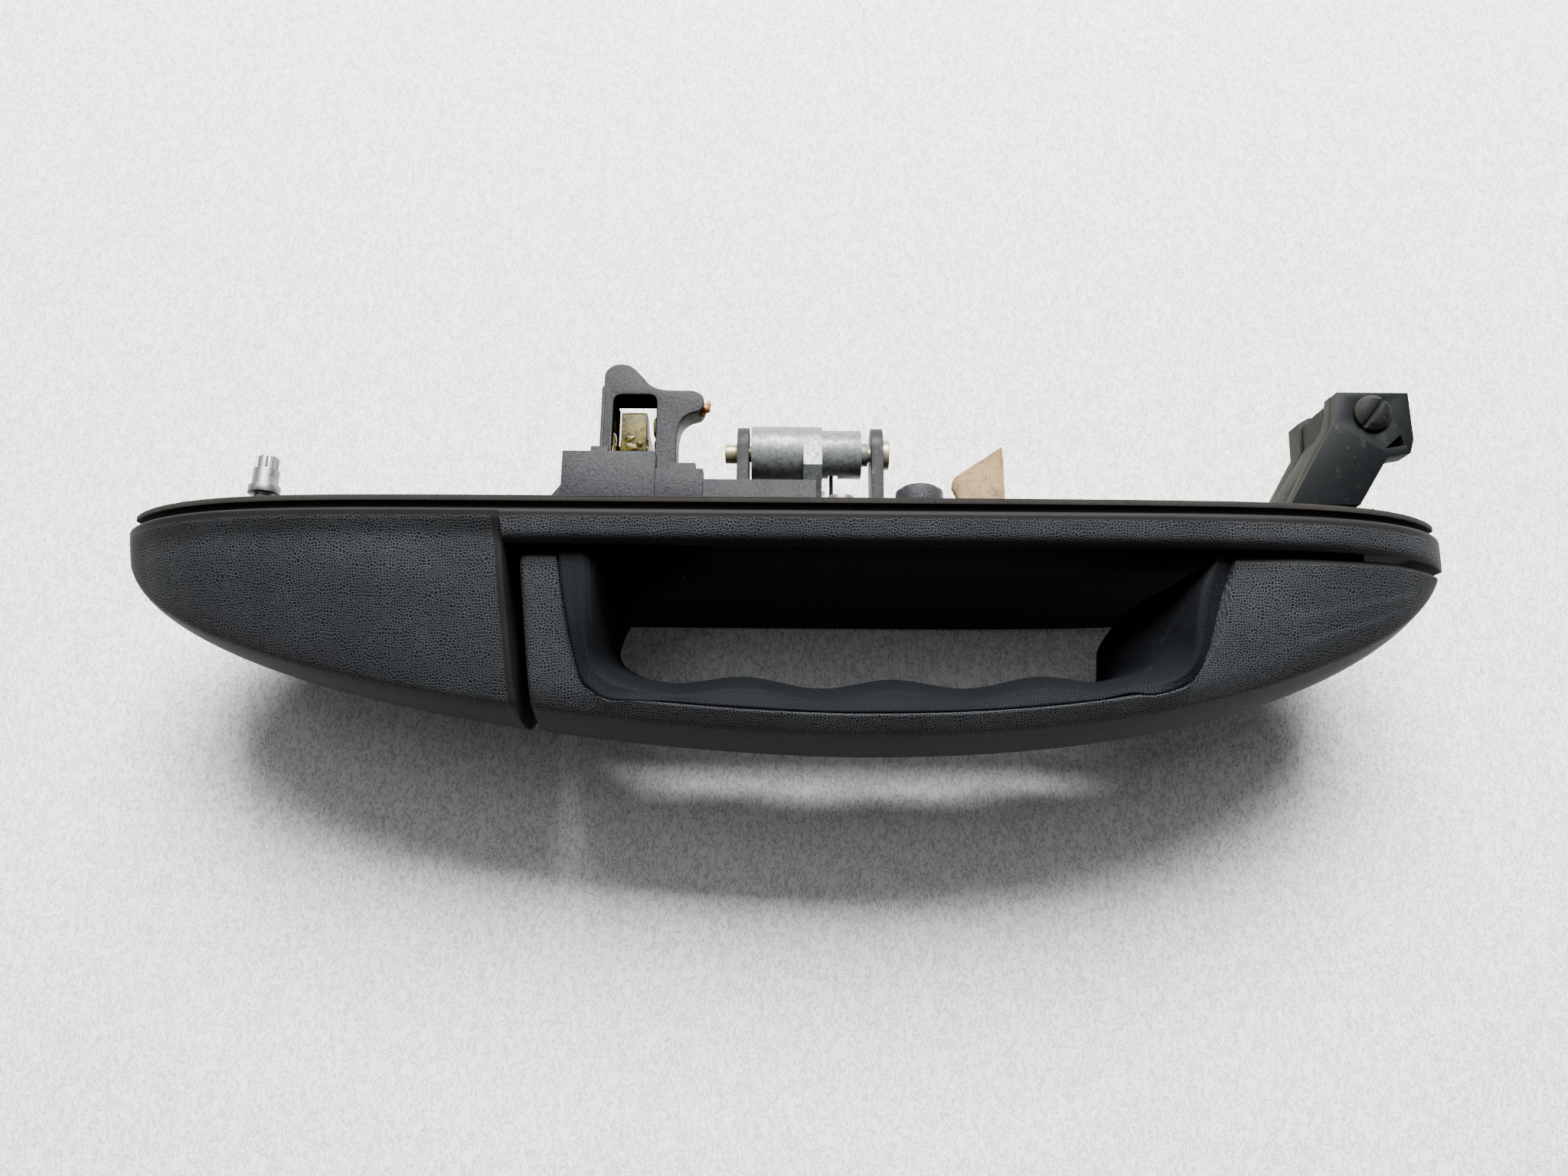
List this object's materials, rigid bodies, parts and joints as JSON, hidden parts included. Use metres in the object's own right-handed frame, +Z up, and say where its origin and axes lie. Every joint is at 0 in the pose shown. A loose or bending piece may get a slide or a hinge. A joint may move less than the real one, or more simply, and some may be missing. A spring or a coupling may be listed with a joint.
{
  "type": "car door handle",
  "caption": "Exterior pull-type car door handle: grained strap on a hinged arm, lens-shaped base with fixed panel, hook leg that works a sprung bell crank.",
  "frame": {"origin": "in the door-side face of the gasket, level with the middle of the strap and halfway between the tips of the base", "axes": "+X along the handle towards its hinge end, +Y into the door, +Z up as installed"},
  "size_m": [0.2385, 0.071, 0.0533],
  "materials": {
    "grained_plastic": "fine pebble grain",
    "smooth_plastic": "smooth, worn satin",
    "mechanism_plastic": "semi-gloss, speckled",
    "hinge_plastic": "satin",
    "gasket_foam": "matt",
    "bumper_rubber": "matt",
    "black_steel": "black coated",
    "cast_zinc": "die-cast zinc, dull",
    "pin_brass": "yellow passivated",
    "zinc_steel": "zinc plated",
    "bush_plastic": "natural acetal",
    "label_paper": "creased and stained"
  },
  "bodies": {
    "base": {"base_bezel": "grained_plastic", "door_gasket": "gasket_foam", "pivot_bracket": "hinge_plastic", "pivot_pin": "hinge_plastic", "bracket_screws": "zinc_steel", "guide_carrier": "mechanism_plastic", "carrier_screws": "zinc_steel", "crank_bracket": "black_steel", "bracket_rivets": "zinc_steel", "crank_pin": "pin_brass", "return_spring": "zinc_steel", "mounting_stud": "zinc_steel", "stud_insert": "pin_brass", "fixing_boss": "mechanism_plastic", "free_end_bumper": "bumper_rubber", "hinge_end_bumper": "bumper_rubber", "label_tag": "label_paper"},
    "handle": {"handle_shell": "grained_plastic", "handle_grip": "smooth_plastic", "hook_leg": "mechanism_plastic", "hook_screws": "zinc_steel", "pivot_arm": "hinge_plastic", "arm_screws": "zinc_steel", "pivot_bush": "bush_plastic"},
    "crank": {"bell_crank": "cast_zinc", "counterweight": "cast_zinc", "rod_clip": "bush_plastic"}
  },
  "joints": [
    {"name": "handle_pull", "type": "hinge", "parent": "base", "child": "handle", "pos_m": [0.1045, 0.0185, 0.004], "axis": [0, 0, 1], "range_deg": [0, 5.5]},
    {"name": "crank_swing", "type": "hinge", "parent": "base", "child": "crank", "pos_m": [0.005, 0.0193, -0.013], "axis": [1, 0, 0], "range_deg": [0, 34], "stiffness_Nm_per_rad": 0.12, "springref_deg": -40.11, "deforming": ["return_spring"]}
  ],
  "couplings": [
    {"joint": "crank_swing", "follows": "handle_pull", "ratio": 6.1818}
  ]
}
